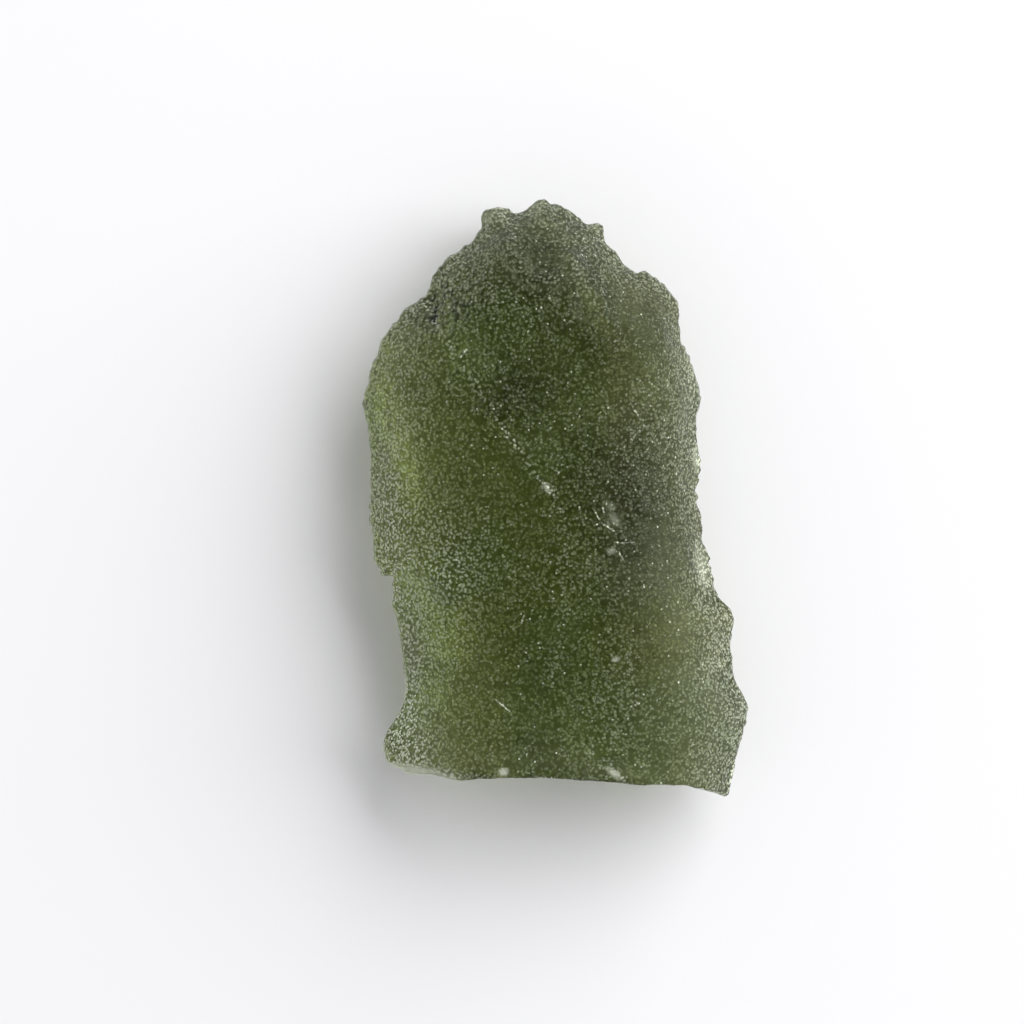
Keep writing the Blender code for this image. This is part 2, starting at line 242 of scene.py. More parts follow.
def edgeTeeth(edge):
    # how far the rim is nibbled inwards: etched teeth, faint on the smooth lower left
    # side and along the broken end
    below, overY, leftOf, overX = stone["calmLeft"]
    calm = np.clip((below - edge[:, 1]) / overY, 0, 1)
    calm = calm * np.clip((leftOf - edge[:, 0]) / overX, 0, 1)
    endBelow, endOver = stone["calmEnd"]
    calm = np.maximum(calm, np.clip((endBelow - edge[:, 1]) / endOver, 0, 1))
    teeth = sum(
        depth * (0.5 + 0.5 * lumpsAt(edge, size, seed)) for size, depth, seed in stone["rimTeeth"]
    )
    return teeth * (1 - stone["calmShare"] * calm)


def planPosition(across, along):
    # rings of the square grid shrink the outline towards the stone's middle:
    # middle + ring * (outline - middle), where ring = max(|across|, |along|)
    ring = np.maximum(np.maximum(np.abs(across), np.abs(along)), 1e-9)
    acrossShare = (across / ring + 1) / 2
    alongShare = (along / ring + 1) / 2
    left = alongRun(stone["leftFlank"], alongShare)
    right = alongRun(stone["rightFlank"], alongShare)
    end = alongRun(stone["brokenEnd"], acrossShare)
    crown = alongRun(stone["crown"], acrossShare)
    onFlank = (np.abs(across) >= np.abs(along))[:, None]
    edge = np.where(
        onFlank,
        np.where((across < 0)[:, None], left, right),
        np.where((along < 0)[:, None], end, crown),
    )
    outwards = (edge - stone["middle"]) / np.linalg.norm(edge - stone["middle"], axis=1)[:, None]
    edge = edge - (edgeTeeth(edge) * ring ** stone["teethFadeIn"])[:, None] * outwards
    return stone["middle"] + ring[:, None] * (edge - stone["middle"])


def rimDistance(plan):
    # a smooth distance from the rim of the whole flake: (2/pi * sum of length / away^4)^(-1/3),
    # which is the true distance beside a long straight rim, and evens out small jogs
    runs = [smoothRun(stone[name])[1] for name in ("leftFlank", "crown", "rightFlank", "lostEnd")]
    middles = np.vstack([(run[1:] + run[:-1]) / 2 for run in runs])
    lengths = np.concatenate([np.linalg.norm(np.diff(run, axis=0), axis=1) for run in runs])
    total = np.empty(len(plan))
    chunk = 3000
    for first in range(0, len(plan), chunk):
        some = plan[first : first + chunk]
        away = np.linalg.norm(some[:, None, :] - middles[None, :, :], axis=2)
        away = np.maximum(away, stone["leastAway"])
        total[first : first + chunk] = (lengths / away**4).sum(axis=1)
    return (total * 2 / math.pi) ** (-1 / 3)


def ridgesAt(plan):
    # rounded crests: height * (1 - (distance to the line / half width)^2)^2
    height = np.zeros(len(plan))
    for points, halfWidth, crest in stone["ridges"]:
        height += crest * np.clip(1 - (lineDistance(plan, points) / halfWidth) ** 2, 0, 1) ** 2
    return height


def lineDistance(plan, points):
    # the distance from each point to a line with corners
    line = np.array(points)
    nearest = np.full(len(plan), np.inf)
    for start, end in zip(line[:-1], line[1:]):
        run = end - start
        share = np.clip((plan - start) @ run / (run @ run), 0, 1)
        away = np.linalg.norm(plan - start - share[:, None] * run, axis=1)
        nearest = np.minimum(nearest, away)
    return nearest


def scoopsAt(plan, scoops, power):
    # depth * (1 - (dx / half width)^2 - (dy / half length)^2)^power: crisp at the edge for
    # power 1, and rounded for 2
    depth = np.zeros(len(plan))
    for x, y, halfWidth, halfLength, deep in scoops:
        reach = ((plan[:, 0] - x) / halfWidth) ** 2 + ((plan[:, 1] - y) / halfLength) ** 2
        depth = np.maximum(depth, deep * np.clip(1 - reach, 0, 1) ** power)
    return depth


def faceHeights(plan):
    # each face climbs from the rim by 1 - (1 - rim distance / climb width)^power,
    # plus lumps and ridges, less scoops and etched pits
    extra, begins, whole = stone["crownRim"]
    rising = np.clip((plan[:, 1] - begins) / (whole - begins), 0, 1)
    halfRim = (stone["rimThickness"] + extra * rising**2 * (3 - 2 * rising)) / 2
    fromRim = rimDistance(plan)
    climb = np.clip(fromRim / stone["climbWidth"], 0, 1)
    upper = stone["rise"] * (1 - (1 - climb) ** stone["upperClimb"])
    lower = -stone["drop"] * (1 - (1 - climb) ** stone["lowerClimb"])
    inland = np.clip(fromRim / stone["reliefFade"], 0, 1)
    upperSeed, lowerSeed = stone["lumpSeeds"]
    for number, (size, height) in enumerate(stone["lumps"]):
        upper += height * inland * lumpsAt(plan, size, upperSeed + number)
        lower += height * inland * lumpsAt(plan, size, lowerSeed + number)
    upper += inland * ridgesAt(plan)
    scooped = np.minimum(1, stone["scoopAtRim"] + inland)
    upper -= scoopsAt(plan, stone["upperScoops"], 1) * scooped
    lower += scoopsAt(plan, stone["lowerScoops"], 2) * inland
    pitFade, pitsAtRim = stone["pitFade"]
    pitted = np.clip(fromRim / pitFade, pitsAtRim, 1)
    for size, depth, seed in stone["pits"]:
        upper -= depth * pitted * pitsAt(plan, size, seed)
        lower += depth * pitted * pitsAt(plan, size, seed + 10)
    lowest = -stone["drop"] * stone["flatSpotShare"] - stone["rimThickness"] / 2
    lower = np.maximum(np.minimum(lower, 0) - halfRim, lowest)
    return np.maximum(upper, 0) + halfRim, lower


def stonePoints(across, along, through):
    # a point of the stone for each place in a block that runs from -1 to 1 across and
    # along, and from 0, its lower face, to 1, its upper face
    plan = planPosition(across, along)
    upper, lower = faceHeights(plan)
    thickness = upper - lower
    rim = np.maximum(np.abs(across), np.abs(along)) > 1 - 1e-6
    roundEdge = np.where(rim, np.sin(math.pi * through), 0)
    outwards = plan / np.linalg.norm(plan, axis=1)[:, None]
    broken = np.where(along < -1 + 1e-6, 1, 0) * np.clip(thickness - stone["rimThickness"], 0, 1)
    wanderHeight, wanderSize, wanderSeed = stone["wander"]
    wander = wanderHeight * lumpsAt(plan, wanderSize, wanderSeed)
    place = plan + (stone["rimBulge"] * roundEdge * (1 - broken))[:, None] * outwards
    lean, leanPower = stone["endLean"]
    place[:, 1] += broken * (lean * through**leanPower - stone["endBulge"] * roundEdge)
    height = lower + thickness * through + wander * through
    return np.column_stack([place, height])


def gridFaces(rows, columns, first, flipped):
    # the quads of a grid of points that are numbered row by row from first
    number = first + np.arange(rows * columns).reshape(rows, columns)
    corners = [number[:-1, :-1], number[:-1, 1:], number[1:, 1:], number[1:, :-1]]
    if flipped:
        corners = corners[::-1]
    return np.stack(corners, axis=-1).reshape(-1, 4)


def makeStone():  # the closed mesh with its attributes
    # three grids, upper face, lower face and rim band, welded where they meet
    columns, rows = stone["cellsAcross"] + 1, stone["cellsAlong"] + 1
    acrossSteps = np.linspace(-1, 1, columns)
    alongSteps = np.linspace(-1, 1, rows)
    across, along = (g.ravel() for g in np.meshgrid(acrossSteps, alongSteps))
    upper = stonePoints(across, along, np.ones(len(across)))
    lower = stonePoints(across, along, np.zeros(len(across)))
    print("faces shaped:", len(upper) + len(lower), "points")

    # once round the square: broken end, right flank, crown, left flank
    aroundX = np.concatenate(
        [acrossSteps, np.ones(rows - 1), acrossSteps[::-1][1:], -np.ones(rows - 1)]
    )
    aroundY = np.concatenate(
        [-np.ones(columns), alongSteps[1:], np.ones(columns - 1), alongSteps[::-1][1:]]
    )
    levels = np.linspace(0, 1, stone["wallLayers"] + 1)
    band = [stonePoints(aroundX, aroundY, np.full(len(aroundX), level)) for level in levels]
    band = np.vstack(band)

    points = np.vstack([upper, lower, band])
    layers = skinAt(points)
    wall = np.arange(len(points)) >= len(upper) + len(lower)
    endY, endFrost = skin["brokenEnd"]
    layers["frost"][wall & (points[:, 1] < endY)] += endFrost
    edgeX, edgeY, edgeFrost = skin["leftEdge"]
    layers["chipped"][wall & (points[:, 0] < edgeX) & (points[:, 1] < edgeY)] += edgeFrost
    points = fitToBox(points)
    faces = np.vstack(
        [
            gridFaces(rows, columns, 0, False),
            gridFaces(rows, columns, len(upper), True),
            gridFaces(len(levels), len(aroundX), len(upper) + len(lower), False),
        ]
    )
    mesh = bpy.data.meshes.new("etchedMoldavite")
    mesh.from_pydata(points.tolist(), [], faces.tolist())
    for name, values in layers.items():
        layer = mesh.attributes.new(name, "FLOAT", "POINT")
        layer.data.foreach_set("value", values.astype(np.float32))
    shape = bmesh.new()
    shape.from_mesh(mesh)
    bmesh.ops.remove_doubles(shape, verts=shape.verts, dist=1e-7)
    bmesh.ops.recalc_face_normals(shape, faces=shape.faces)
    openEdges = sum(not edge.is_manifold for edge in shape.edges)
    shape.to_mesh(mesh)
    shape.free()
    mesh.shade_smooth()
    piece = bpy.data.objects.new("etchedMoldavite", mesh)
    bpy.context.scene.collection.objects.link(piece)
    print("stone mesh:", len(mesh.polygons), "quads,", openEdges, "open edges")
    return piece


def fitToBox(points):
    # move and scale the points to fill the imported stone's box, in metres
    low, high = points.min(axis=0), points.max(axis=0)
    boxLow, boxHigh = np.array(cadBox[0]), np.array(cadBox[1])
    return boxLow + (points - low) / (high - low) * (boxHigh - boxLow)


def hexColour(code):
    # an sRGB hex value as linear red, green, blue and 1
    parts = [int(code[k : k + 2], 16) / 255 for k in (0, 2, 4)]
    linear = [p / 12.92 if p <= 0.04045 else ((p + 0.055) / 1.055) ** 2.4 for p in parts]
    return (*linear, 1.0)


def addNode(tree, kind, settings=None, links=None):
    # a node with its settings and its links, by socket name or number; a name that isn't
    # a socket is a property
    node = tree.nodes.new(kind)
    for name, value in (settings or {}).items():
        if isinstance(name, int) or name in node.inputs:
            node.inputs[name].default_value = value
        else:
            setattr(node, name, value)
    for name, source in (links or {}).items():
        tree.links.new(source, node.inputs[name])
    return node


# Moldavite, a natural glass, chilled from a splash of melted sand and then etched by
# ground water for millions of years: the inside is clear bottle green, which light crosses
# twice on a pale table, and the skin is packed with tiny bowls, so each one catches a grey
# glint of its own, partly real sheen and partly painted on the grain tops, with painted
# shade between them; thin edges glow and nothing shows sharply.
etchedGlass = {
    "ior": 1.49,
    "specularLevel": 0.08,  # a sixth of plain glass: tiny bowls hide part of each glint
    "specularTint": "747C60",  # the bowls shade one another, so the sheen is dull and greenish
    "roughness": 0.30,
    "absorptionColour": "B0C200",
    "absorptionDensity": 122.0,  # for a metre of it; blue is taken most
    "tints": ("F1F6DE", "EDF6D2", "F3F3CC"),  # greyer, greener and browner glass
    "tintSize": 3.5,  # mm
    "wobbleSize": 0.30,  # mm
    "wobble": 0.12,
    "pebbleSize": 0.155,  # mm across the finest etched grains
    "paintedGapShade": 0.43,  # painted shade: the share of light let in between the grains
    "pebbleDepth": 0.014,  # mm
    "scaleSize": 0.33,  # mm across the etched scales of the shoulder
    # painted shade round the edges of the etched scales: the share of light kept out there
    "scaleEdgeShade": 0.75,
    "scaleDepth": 0.13,
    # colour of the pale matte share: frost, chips and scratches, and also the painted highlights and
    # glints
    "frostColour": "CDD4BC",
    "grainHighlights": 0.18,  # painted highlights: frost on the brightest single grains
    "glintSize": 0.43,  # mm from one painted glint to the next
    "glintWidth": 0.065,
    "glintPower": 1.6,
    # grains and scales by the distance from the middle of a cell, in cells: where a grain's
    # gap is reached and where its top begins, then where a scale's edge begins and is whole
    "grainEdge": (0.56, 0.26),
    "scaleEdge": (0.40, 0.75),
    "tintStops": (0.25, 0.5, 0.75),
    "frostAndSheenOnGrains": 2.4,  # frost gathers on the tops of the grains, and paints a highlight on each grain top
    "scratchOnGrains": (0.5, 2.2),  # a scratch's strength in the gaps and on the tops
    "brightFrom": 0.45,  # grains whose random number is under this stay plain
    "frostRoughness": 0.6,
}

# where the skin is frosted: at the rim, in slow patches and along worn lines, and where shade is
# painted, in mm
skin = {
    "seenFrom": (-2.18, -0.69, 0.975),  # the camera's axis and the share of the way out from it
    "everywhere": 0.006,
    "atRim": 0.16,
    "rimReach": 1.9,
    "brokenEnd": (-13.3, 0.25),  # below this y, frost added on the rim
    "leftEdge": (-7.2, -9.0, 0.55),  # left of this x and below this y, frost added on the rim
    "patchSize": 2.6,
    "patchShare": 0.35,
    "patchSeed": 81,
    # frost along a line: share of it everywhere, more or less of it, size of a gap, seed
    "lineGaps": (0.65, 0.6, 0.5, 83),
    # etched scales: usual share, more or less of it, size of a patch of them, seed
    "scalePatches": (0.35, 0.35, 3.1, 85),
    "scalesAtRim": (0.5, 2.0),  # more of them at the rim, and how far in they reach
    "scalesKept": (0.3, 0.05),  # the share of all this that shows, and the least anywhere
    "shoulder": (-5.4, 9.6, 2.6, 3.2),  # x, y, half width and half length of the scaly shoulder
    "tintSeed": 87,
    "most": (0.95, 0.9, 0.85),  # frost, chipped and shade never pass these
    # x, y, half width, half length, frost added, some of it painted light
    "patches": (
        (3.9, 3.2, 1.5, 1.6, 0.02),
        (-8.3, -2.5, 1.2, 4.4, 0.22),
        (-5.9, -3.6, 2.0, 2.4, 0.15),
        (-7.9, 4.2, 1.2, 3.0, 0.09),
        (-5.8, -6.4, 1.4, 2.0, 0.07),
        (7.4, 1.9, 0.25, 0.8, 0.45),
        (7.5, -3.6, 0.6, 1.5, 0.10),
        (-6.6, -13.8, 2.0, 0.35, 0.60),
        (-7.8, -10.8, 1.2, 3.4, 0.36),
        (-7.2, -13.0, 1.4, 1.0, 0.22),
        # painted light: the next three faint patches lift areas that the relief leaves dark
        (-2.6, 10.4, 3.0, 2.0, 0.035),
        (-0.3, -3.9, 2.2, 1.4, 0.02),
        (2.7, -10.4, 1.8, 4.0, 0.035),
        (4.4, 8.6, 1.8, 2.4, -0.06),
        (0.0, 13.0, 4.0, 2.2, -0.08),
        (5.6, -1.5, 1.8, 8.0, -0.06),
    ),
    # points along a worn line, half width, frost added
    "lines": (
        (((-6.6, 9.7), (-5.5, 7.7), (-4.3, 6.0), (-2.8, 3.7), (-0.9, 0.9)), 0.11, 0.16),
        (((-0.9, 0.9), (-0.15, 0.0)), 0.11, 0.35),
        (((-0.15, 0.0), (0.5, -1.6), (0.25, -6.1), (-0.3, -9.2)), 0.22, 0.05),
        (((3.4, -7.1), (3.6, -8.8), (3.9, -10.2)), 0.12, 0.10),
        (((1.75, -12.15), (2.1, -13.1), (2.6, -14.0)), 0.10, 0.22),
        (((2.45, -13.0), (2.9, -13.55), (3.3, -13.85)), 0.14, 0.65),
        (((0.3, 12.4), (1.5, 10.0), (2.6, 8.2), (3.3, 7.3)), 0.22, 0.06),
        (((-2.5, 12.2), (-1.4, 10.6), (-0.2, 10.5), (0.6, 11.4)), 0.20, 0.05),
    ),
    # painted shade, spots darker by the share of light kept out: broad ones over the middle and
    # crown, small ones along dark lines and notches; x, y, half length, half width, turn in degrees,
    # share of light kept out
    "hollows": (
        (2.00, 9.13, 0.34, 0.26, -40, 0.75),
        (2.35, 8.45, 0.40, 0.20, -60, 0.75),
        (1.65, 9.83, 0.28, 0.20, 30, 0.60),
        (2.80, 7.65, 0.40, 0.20, -50, 0.65),
        (3.20, 6.90, 0.34, 0.24, 10, 0.50),
        (-6.10, 9.23, 0.80, 0.24, 80, 0.60),
        (-2.28, 13.20, 0.45, 0.35, 60, 0.60),
        (-0.40, 10.95, 0.90, 0.65, 20, 0.40),
        (-0.60, 12.60, 0.75, 0.45, -20, 0.40),
        (6.90, -3.10, 1.80, 0.18, -77, 0.60),
        (-3.80, -14.10, 1.20, 0.26, -2, 0.90),
        (1.40, -14.35, 3.80, 0.45, -4, 0.90),
        (-9.00, -3.90, 0.50, 0.16, -5, 0.60),
        (0.00, 12.80, 5.20, 3.20, 0, 0.34),
        (4.75, 0.60, 6.40, 2.20, 92, 0.46),
        (4.00, 8.20, 3.40, 2.20, 90, 0.12),
        (4.80, 9.20, 2.60, 2.20, -60, 0.30),
        (-6.00, 9.40, 2.20, 2.20, 0, 0.30),
        (2.90, 0.90, 4.20, 3.20, 90, 0.42),
        (-2.10, 5.40, 3.60, 2.60, 0, 0.48),
        (3.90, -3.00, 4.00, 2.40, 90, 0.34),
        (-8.10, 3.20, 3.20, 1.10, 90, 0.30),
        (-5.70, -6.10, 2.60, 1.40, 90, 0.30),
        (-5.70, -8.60, 1.80, 1.40, 0, 0.26),
        (-1.30, -8.40, 2.60, 2.20, 0, 0.16),
        (-1.30, -12.90, 2.20, 1.70, 0, 0.28),
    ),
    # pale chips and craters, in the same way, with the frost added
    "chips": (
        (-0.45, 0.42, 0.42, 0.15, -50, 0.60),
        (3.02, -1.15, 0.52, 0.26, -58, 0.30),
        (2.80, -0.50, 0.30, 0.28, 0, 0.20),
        (2.80, -2.75, 0.30, 0.18, -10, 0.60),
        (3.02, -8.17, 0.26, 0.15, 10, 0.80),
        (-2.60, -13.83, 0.32, 0.24, -8, 1.60),
        (-6.60, -14.05, 2.00, 0.40, -10, 1.30),
        (2.95, -13.93, 0.60, 0.22, -42, 1.10),
        (7.35, 1.90, 0.85, 0.32, 95, 0.34),
        (7.60, -3.50, 1.70, 0.52, -79, 0.26),
    ),
    # hair-thin scratches, in the same way
    "scratches": (
        (-2.58, -10.35, 0.62, 0.055, -43, 0.95),
        (-4.50, 7.38, 0.44, 0.05, 51, 0.60),
        (-1.58, -6.00, 0.36, 0.05, 68, 0.55),
        (4.14, 4.35, 0.50, 0.07, -59, 0.45),
        (4.62, 3.72, 0.30, 0.06, -33, 0.45),
        (4.05, 3.20, 0.55, 0.09, 49, 0.35),
        (2.15, -0.80, 0.45, 0.055, -57, 0.55),
        (2.75, -1.42, 0.45, 0.055, -33, 0.50),
        (2.45, -0.55, 0.24, 0.07, -60, 0.50),
        (3.55, -2.15, 0.60, 0.055, 0, 0.50),
        (3.38, -2.85, 0.28, 0.055, -65, 0.60),
    ),
}


def drawnIn(x, y):
    # marks were measured on the photograph at the scale of the rim. The broad face is nearer
    # to the camera, so they lie a little closer to the camera's axis
    axisX, axisY, share = skin["seenFrom"]
    return axisX + (x - axisX) * share, axisY + (y - axisY) * share


def spotsAt(plan, spots):
    # soft ellipses, each its amount * (1 - distance from its middle / reach)
    total = np.zeros(len(plan))
    for x, y, halfLength, halfWidth, turn, amount in spots:
        x, y = drawnIn(x, y)
        cosine, sine = math.cos(math.radians(turn)), math.sin(math.radians(turn))
        along = (plan[:, 0] - x) * cosine + (plan[:, 1] - y) * sine
        across = (plan[:, 1] - y) * cosine - (plan[:, 0] - x) * sine
        reach = np.hypot(along / halfLength, across / halfWidth)
        total += amount * np.clip(1 - reach, 0, 1)
    return total


def skinAt(points):
    # what the glass needs at each point. frost = everywhere + at rim * e^(-rim distance /
    # reach), times slow patches, plus bells e^(-distance^2) on named spots, some of them painted
    # light, and along lines; scales grow towards the rim and on the left shoulder; shade is
    # painted shade, the light kept out; tint runs from 0, greyer glass, by 0.5, greener, to 1,
    # browner
    plan = points[:, :2]
    fromRim = rimDistance(plan)
    slow = 1 + skin["patchShare"] * lumpsAt(plan, skin["patchSize"], skin["patchSeed"])
    frost = (skin["everywhere"] + skin["atRim"] * np.exp(-fromRim / skin["rimReach"])) * slow
    for x, y, halfWidth, halfLength, amount in skin["patches"]:
        frost += amount * np.exp(
            -(((plan[:, 0] - x) / halfWidth) ** 2) - ((plan[:, 1] - y) / halfLength) ** 2
        )
    usual, change, size, seed = skin["lineGaps"]
    broken = usual + change * lumpsAt(plan, size, seed)
    for line, halfWidth, amount in skin["lines"]:
        frost += amount * broken * np.exp(-((lineDistance(plan, line) / halfWidth) ** 2))
    usual, change, size, seed = skin["scalePatches"]
    atRim, reach = skin["scalesAtRim"]
    scales = usual + change * lumpsAt(plan, size, seed) + atRim * np.exp(-fromRim / reach)
    x, y, halfWidth, halfLength = skin["shoulder"]
    shoulder = np.exp(
        -(((plan[:, 0] - x) / halfWidth) ** 2) - ((plan[:, 1] - y) / halfLength) ** 2
    )
    kept, least = skin["scalesKept"]
    mostFrost, mostChipped, mostShade = skin["most"]
    return {
        "frost": np.clip(frost, 0, mostFrost),
        "chipped": np.clip(spotsAt(plan, skin["chips"]), 0, mostChipped),
        "scales": np.clip(np.maximum(scales * kept, shoulder), least, 1),
        "shade": np.clip(spotsAt(plan, skin["hollows"]), 0, mostShade),
        "tint": 0.5 + 0.5 * lumpsAt(plan, etchedGlass["tintSize"], skin["tintSeed"]),
    }


def softSpot(tree, place, spot):
    # an ellipse that fades as 1 - distance from its middle / reach, through all heights
    x, y, halfLength, halfWidth, turn = spot[:5]
    x, y = drawnIn(x, y)
    local = addNode(
        tree,
        "ShaderNodeMapping",
        {
            "vector_type": "TEXTURE",
            "Location": (x * mm, y * mm, 0.0),
            "Rotation": (0.0, 0.0, math.radians(turn)),
            "Scale": (halfLength * mm, halfWidth * mm, 1.0),
        },
        {"Vector": place},
    )
    blob = addNode(
        tree,
        "ShaderNodeTexGradient",
        {"gradient_type": "SPHERICAL"},
        {"Vector": local.outputs["Vector"]},
    )
    return blob.outputs["Fac"]


def makeGlass():
    # see-through glass mixed with a pale matte share, by mask = frost * grains + bright grains
    # + chips + scratches + specks; the frost on the grain tops partly paints their highlights,
    # and the bright grains and specks are painted highlights and glints
    material = bpy.data.materials.new("etchedBottleGreenGlass")
    material.use_nodes = True
    tree = material.node_tree
    tree.nodes.clear()
    place = addNode(tree, "ShaderNodeTexCoord").outputs["Object"]

    # a little wobble, so that neither the grains nor the scratches look drawn
    wobble = addNode(
        tree,
        "ShaderNodeTexNoise",
        {"Scale": 1 / (etchedGlass["wobbleSize"] * mm), "Detail": 0.0},
        {"Vector": place},
    )
    shift = addNode(
        tree,
        "ShaderNodeVectorMath",
        {"operation": "MULTIPLY_ADD", 1: (etchedGlass["wobble"] * mm,) * 3},
        {0: wobble.outputs["Color"], 2: place},
    )
    loose = shift.outputs["Vector"]

    # grains: 1 in the middle of each etched grain, falling to 0 in the gaps
    cells = addNode(
        tree,
        "ShaderNodeTexVoronoi",
        {"feature": "F1", "Scale": 1 / (etchedGlass["pebbleSize"] * mm)},
        {"Vector": loose},
    )
    gapFrom, topFrom = etchedGlass["grainEdge"]
    pebbles = addNode(
        tree,
        "ShaderNodeMapRange",
        {"From Min": gapFrom, "From Max": topFrom, "To Min": 0.0, "To Max": 1.0},
        {"Value": cells.outputs["Distance"]},
    )

    scaleCells = addNode(
        tree,
        "ShaderNodeTexVoronoi",
        {"feature": "F1", "Scale": 1 / (etchedGlass["scaleSize"] * mm)},
        {"Vector": loose},
    )
    scaly = addNode(tree, "ShaderNodeAttribute", {"attribute_name": "scales"})

    # greyer, greener and browner glass, with painted shade: darker in the shaded spots,
    # between the grains and round the scales
    slow = addNode(tree, "ShaderNodeAttribute", {"attribute_name": "tint"})
    tints = addNode(tree, "ShaderNodeValToRGB", links={"Fac": slow.outputs["Fac"]})
    tints.color_ramp.elements.new(0.5)
    for element, position, code in zip(
        tints.color_ramp.elements, etchedGlass["tintStops"], etchedGlass["tints"]
    ):
        element.position = position
        element.color = hexColour(code)
    # painted shade: the glass's colour is darker in the gaps between the grains
    letIn = addNode(
        tree,
        "ShaderNodeMapRange",
        {"To Min": etchedGlass["paintedGapShade"], "To Max": 1.0},
        {"Value": pebbles.outputs["Result"]},
    )
    # painted shade round the scale edges, as strong as the scales attribute allows
    edgeFrom, edgeWhole = etchedGlass["scaleEdge"]
    scaleEdge = addNode(
        tree,
        "ShaderNodeMapRange",
        {
            "From Min": edgeFrom,
            "From Max": edgeWhole,
            "To Min": 0.0,
            "To Max": etchedGlass["scaleEdgeShade"],
        },
        {"Value": scaleCells.outputs["Distance"]},
    )
    # painted shade: the spots of the shade attribute, darker in the glass's colour
    hollows = addNode(tree, "ShaderNodeAttribute", {"attribute_name": "shade"})
    # painted shade kept out of the colour: scale edges where there are scales, plus the shaded spots
    keptOut = addNode(
        tree,
        "ShaderNodeMath",
        {"operation": "MULTIPLY_ADD", "use_clamp": True},
        {0: scaleEdge.outputs["Result"], 1: scaly.outputs["Fac"], 2: hollows.outputs["Fac"]},
    )
    passed = addNode(
        tree,
        "ShaderNodeMath",
        {"operation": "SUBTRACT", 0: 1.0},
        {1: keptOut.outputs["Value"]},
    )
    passed = addNode(
        tree,
        "ShaderNodeMath",
        {"operation": "MULTIPLY"},
        {0: passed.outputs["Value"], 1: letIn.outputs["Result"]},
    )
    colour = addNode(
        tree,
        "ShaderNodeVectorMath",
        {"operation": "SCALE"},
        {0: tints.outputs["Color"], "Scale": passed.outputs["Value"]},
    )

    # relief finer than the mesh: scales first, then the grains on them
    scaleBump = addNode(
        tree,
        "ShaderNodeBump",
        {"Distance": etchedGlass["scaleDepth"] * mm},
        {"Height": scaleCells.outputs["Distance"], "Strength": scaly.outputs["Fac"]},
    )
    pebbleBump = addNode(
        tree,
        "ShaderNodeBump",
        {"Strength": 1.0, "Distance": etchedGlass["pebbleDepth"] * mm},
        {"Height": pebbles.outputs["Result"], "Normal": scaleBump.outputs["Normal"]},
    )
    relief = pebbleBump.outputs["Normal"]

    # frost: the share from the frost attribute, strongest on the grain tops, where it also paints a
    # highlight, plus scratches and painted glints
    share = addNode(tree, "ShaderNodeAttribute", {"attribute_name": "frost"})
    onGrains = addNode(
        tree,
        "ShaderNodeMapRange",
        {"To Min": 0.0, "To Max": etchedGlass["frostAndSheenOnGrains"]},
        {"Value": pebbles.outputs["Result"]},
    )
    frost = addNode(
        tree,
        "ShaderNodeMath",
        {"operation": "MULTIPLY"},
        {0: share.outputs["Fac"], 1: onGrains.outputs["Result"]},
    )
    inGaps, onTops = etchedGlass["scratchOnGrains"]
    brokenUp = addNode(
        tree,
        "ShaderNodeMapRange",
        {"To Min": inGaps, "To Max": onTops},
        {"Value": pebbles.outputs["Result"]},
    )
    # painted highlights: single grains that stand out bright, each as much as its own random number
    # is high
    chance = addNode(
        tree,
        "ShaderNodeMapRange",
        {
            "From Min": etchedGlass["brightFrom"],
            "From Max": 1.0,
            "To Min": 0.0,
            "To Max": etchedGlass["grainHighlights"],
        },
        {"Value": cells.outputs["Color"]},
    )
    frost = addNode(
        tree,
        "ShaderNodeMath",
        {"operation": "MULTIPLY_ADD"},
        {0: chance.outputs["Result"], 1: pebbles.outputs["Result"], 2: frost.outputs["Value"]},
    )
    chipped = addNode(tree, "ShaderNodeAttribute", {"attribute_name": "chipped"})
    frost = addNode(
        tree,
        "ShaderNodeMath",
        {"operation": "ADD"},
        {0: frost.outputs["Value"], 1: chipped.outputs["Fac"]},
    )
    for mark in skin["scratches"]:
        spot = addNode(
            tree,
            "ShaderNodeMath",
            {"operation": "MULTIPLY"},
            {0: softSpot(tree, loose, mark), 1: brokenUp.outputs["Result"]},
        )
        frost = addNode(
            tree,
            "ShaderNodeMath",
            {"operation": "MULTIPLY_ADD", 1: mark[-1]},
            {0: spot.outputs["Value"], 2: frost.outputs["Value"]},
        )
    # painted glints: sparse bright specks of the pale share, each as bright as its own random colour
    specks = addNode(
        tree,
        "ShaderNodeTexVoronoi",
        {"feature": "F1", "Scale": 1 / (etchedGlass["glintSize"] * mm)},
        {"Vector": place},
    )
    nearSpeck = etchedGlass["glintWidth"] / etchedGlass["glintSize"]
    glints = addNode(
        tree,
        "ShaderNodeMapRange",
        {
            "From Min": nearSpeck,
            "From Max": 0.0,
            "To Min": 0.0,
            "To Max": etchedGlass["glintPower"],
        },
        {"Value": specks.outputs["Distance"]},
    )
    glints = addNode(
        tree,
        "ShaderNodeVectorMath",
        {"operation": "SCALE"},
        {0: specks.outputs["Color"], "Scale": glints.outputs["Result"]},
    )
    mask = addNode(
        tree,
        "ShaderNodeMath",
        {"operation": "ADD", "use_clamp": True},
        {0: frost.outputs["Value"], 1: glints.outputs["Vector"]},
    )

    glass = addNode(
        tree,
        "ShaderNodeBsdfPrincipled",
        {
            "Roughness": etchedGlass["roughness"],
            "IOR": etchedGlass["ior"],
            "Specular IOR Level": etchedGlass["specularLevel"],
            "Specular Tint": hexColour(etchedGlass["specularTint"]),
            "Transmission Weight": 1.0,
        },
        {"Base Color": colour.outputs["Vector"], "Normal": relief},
    )
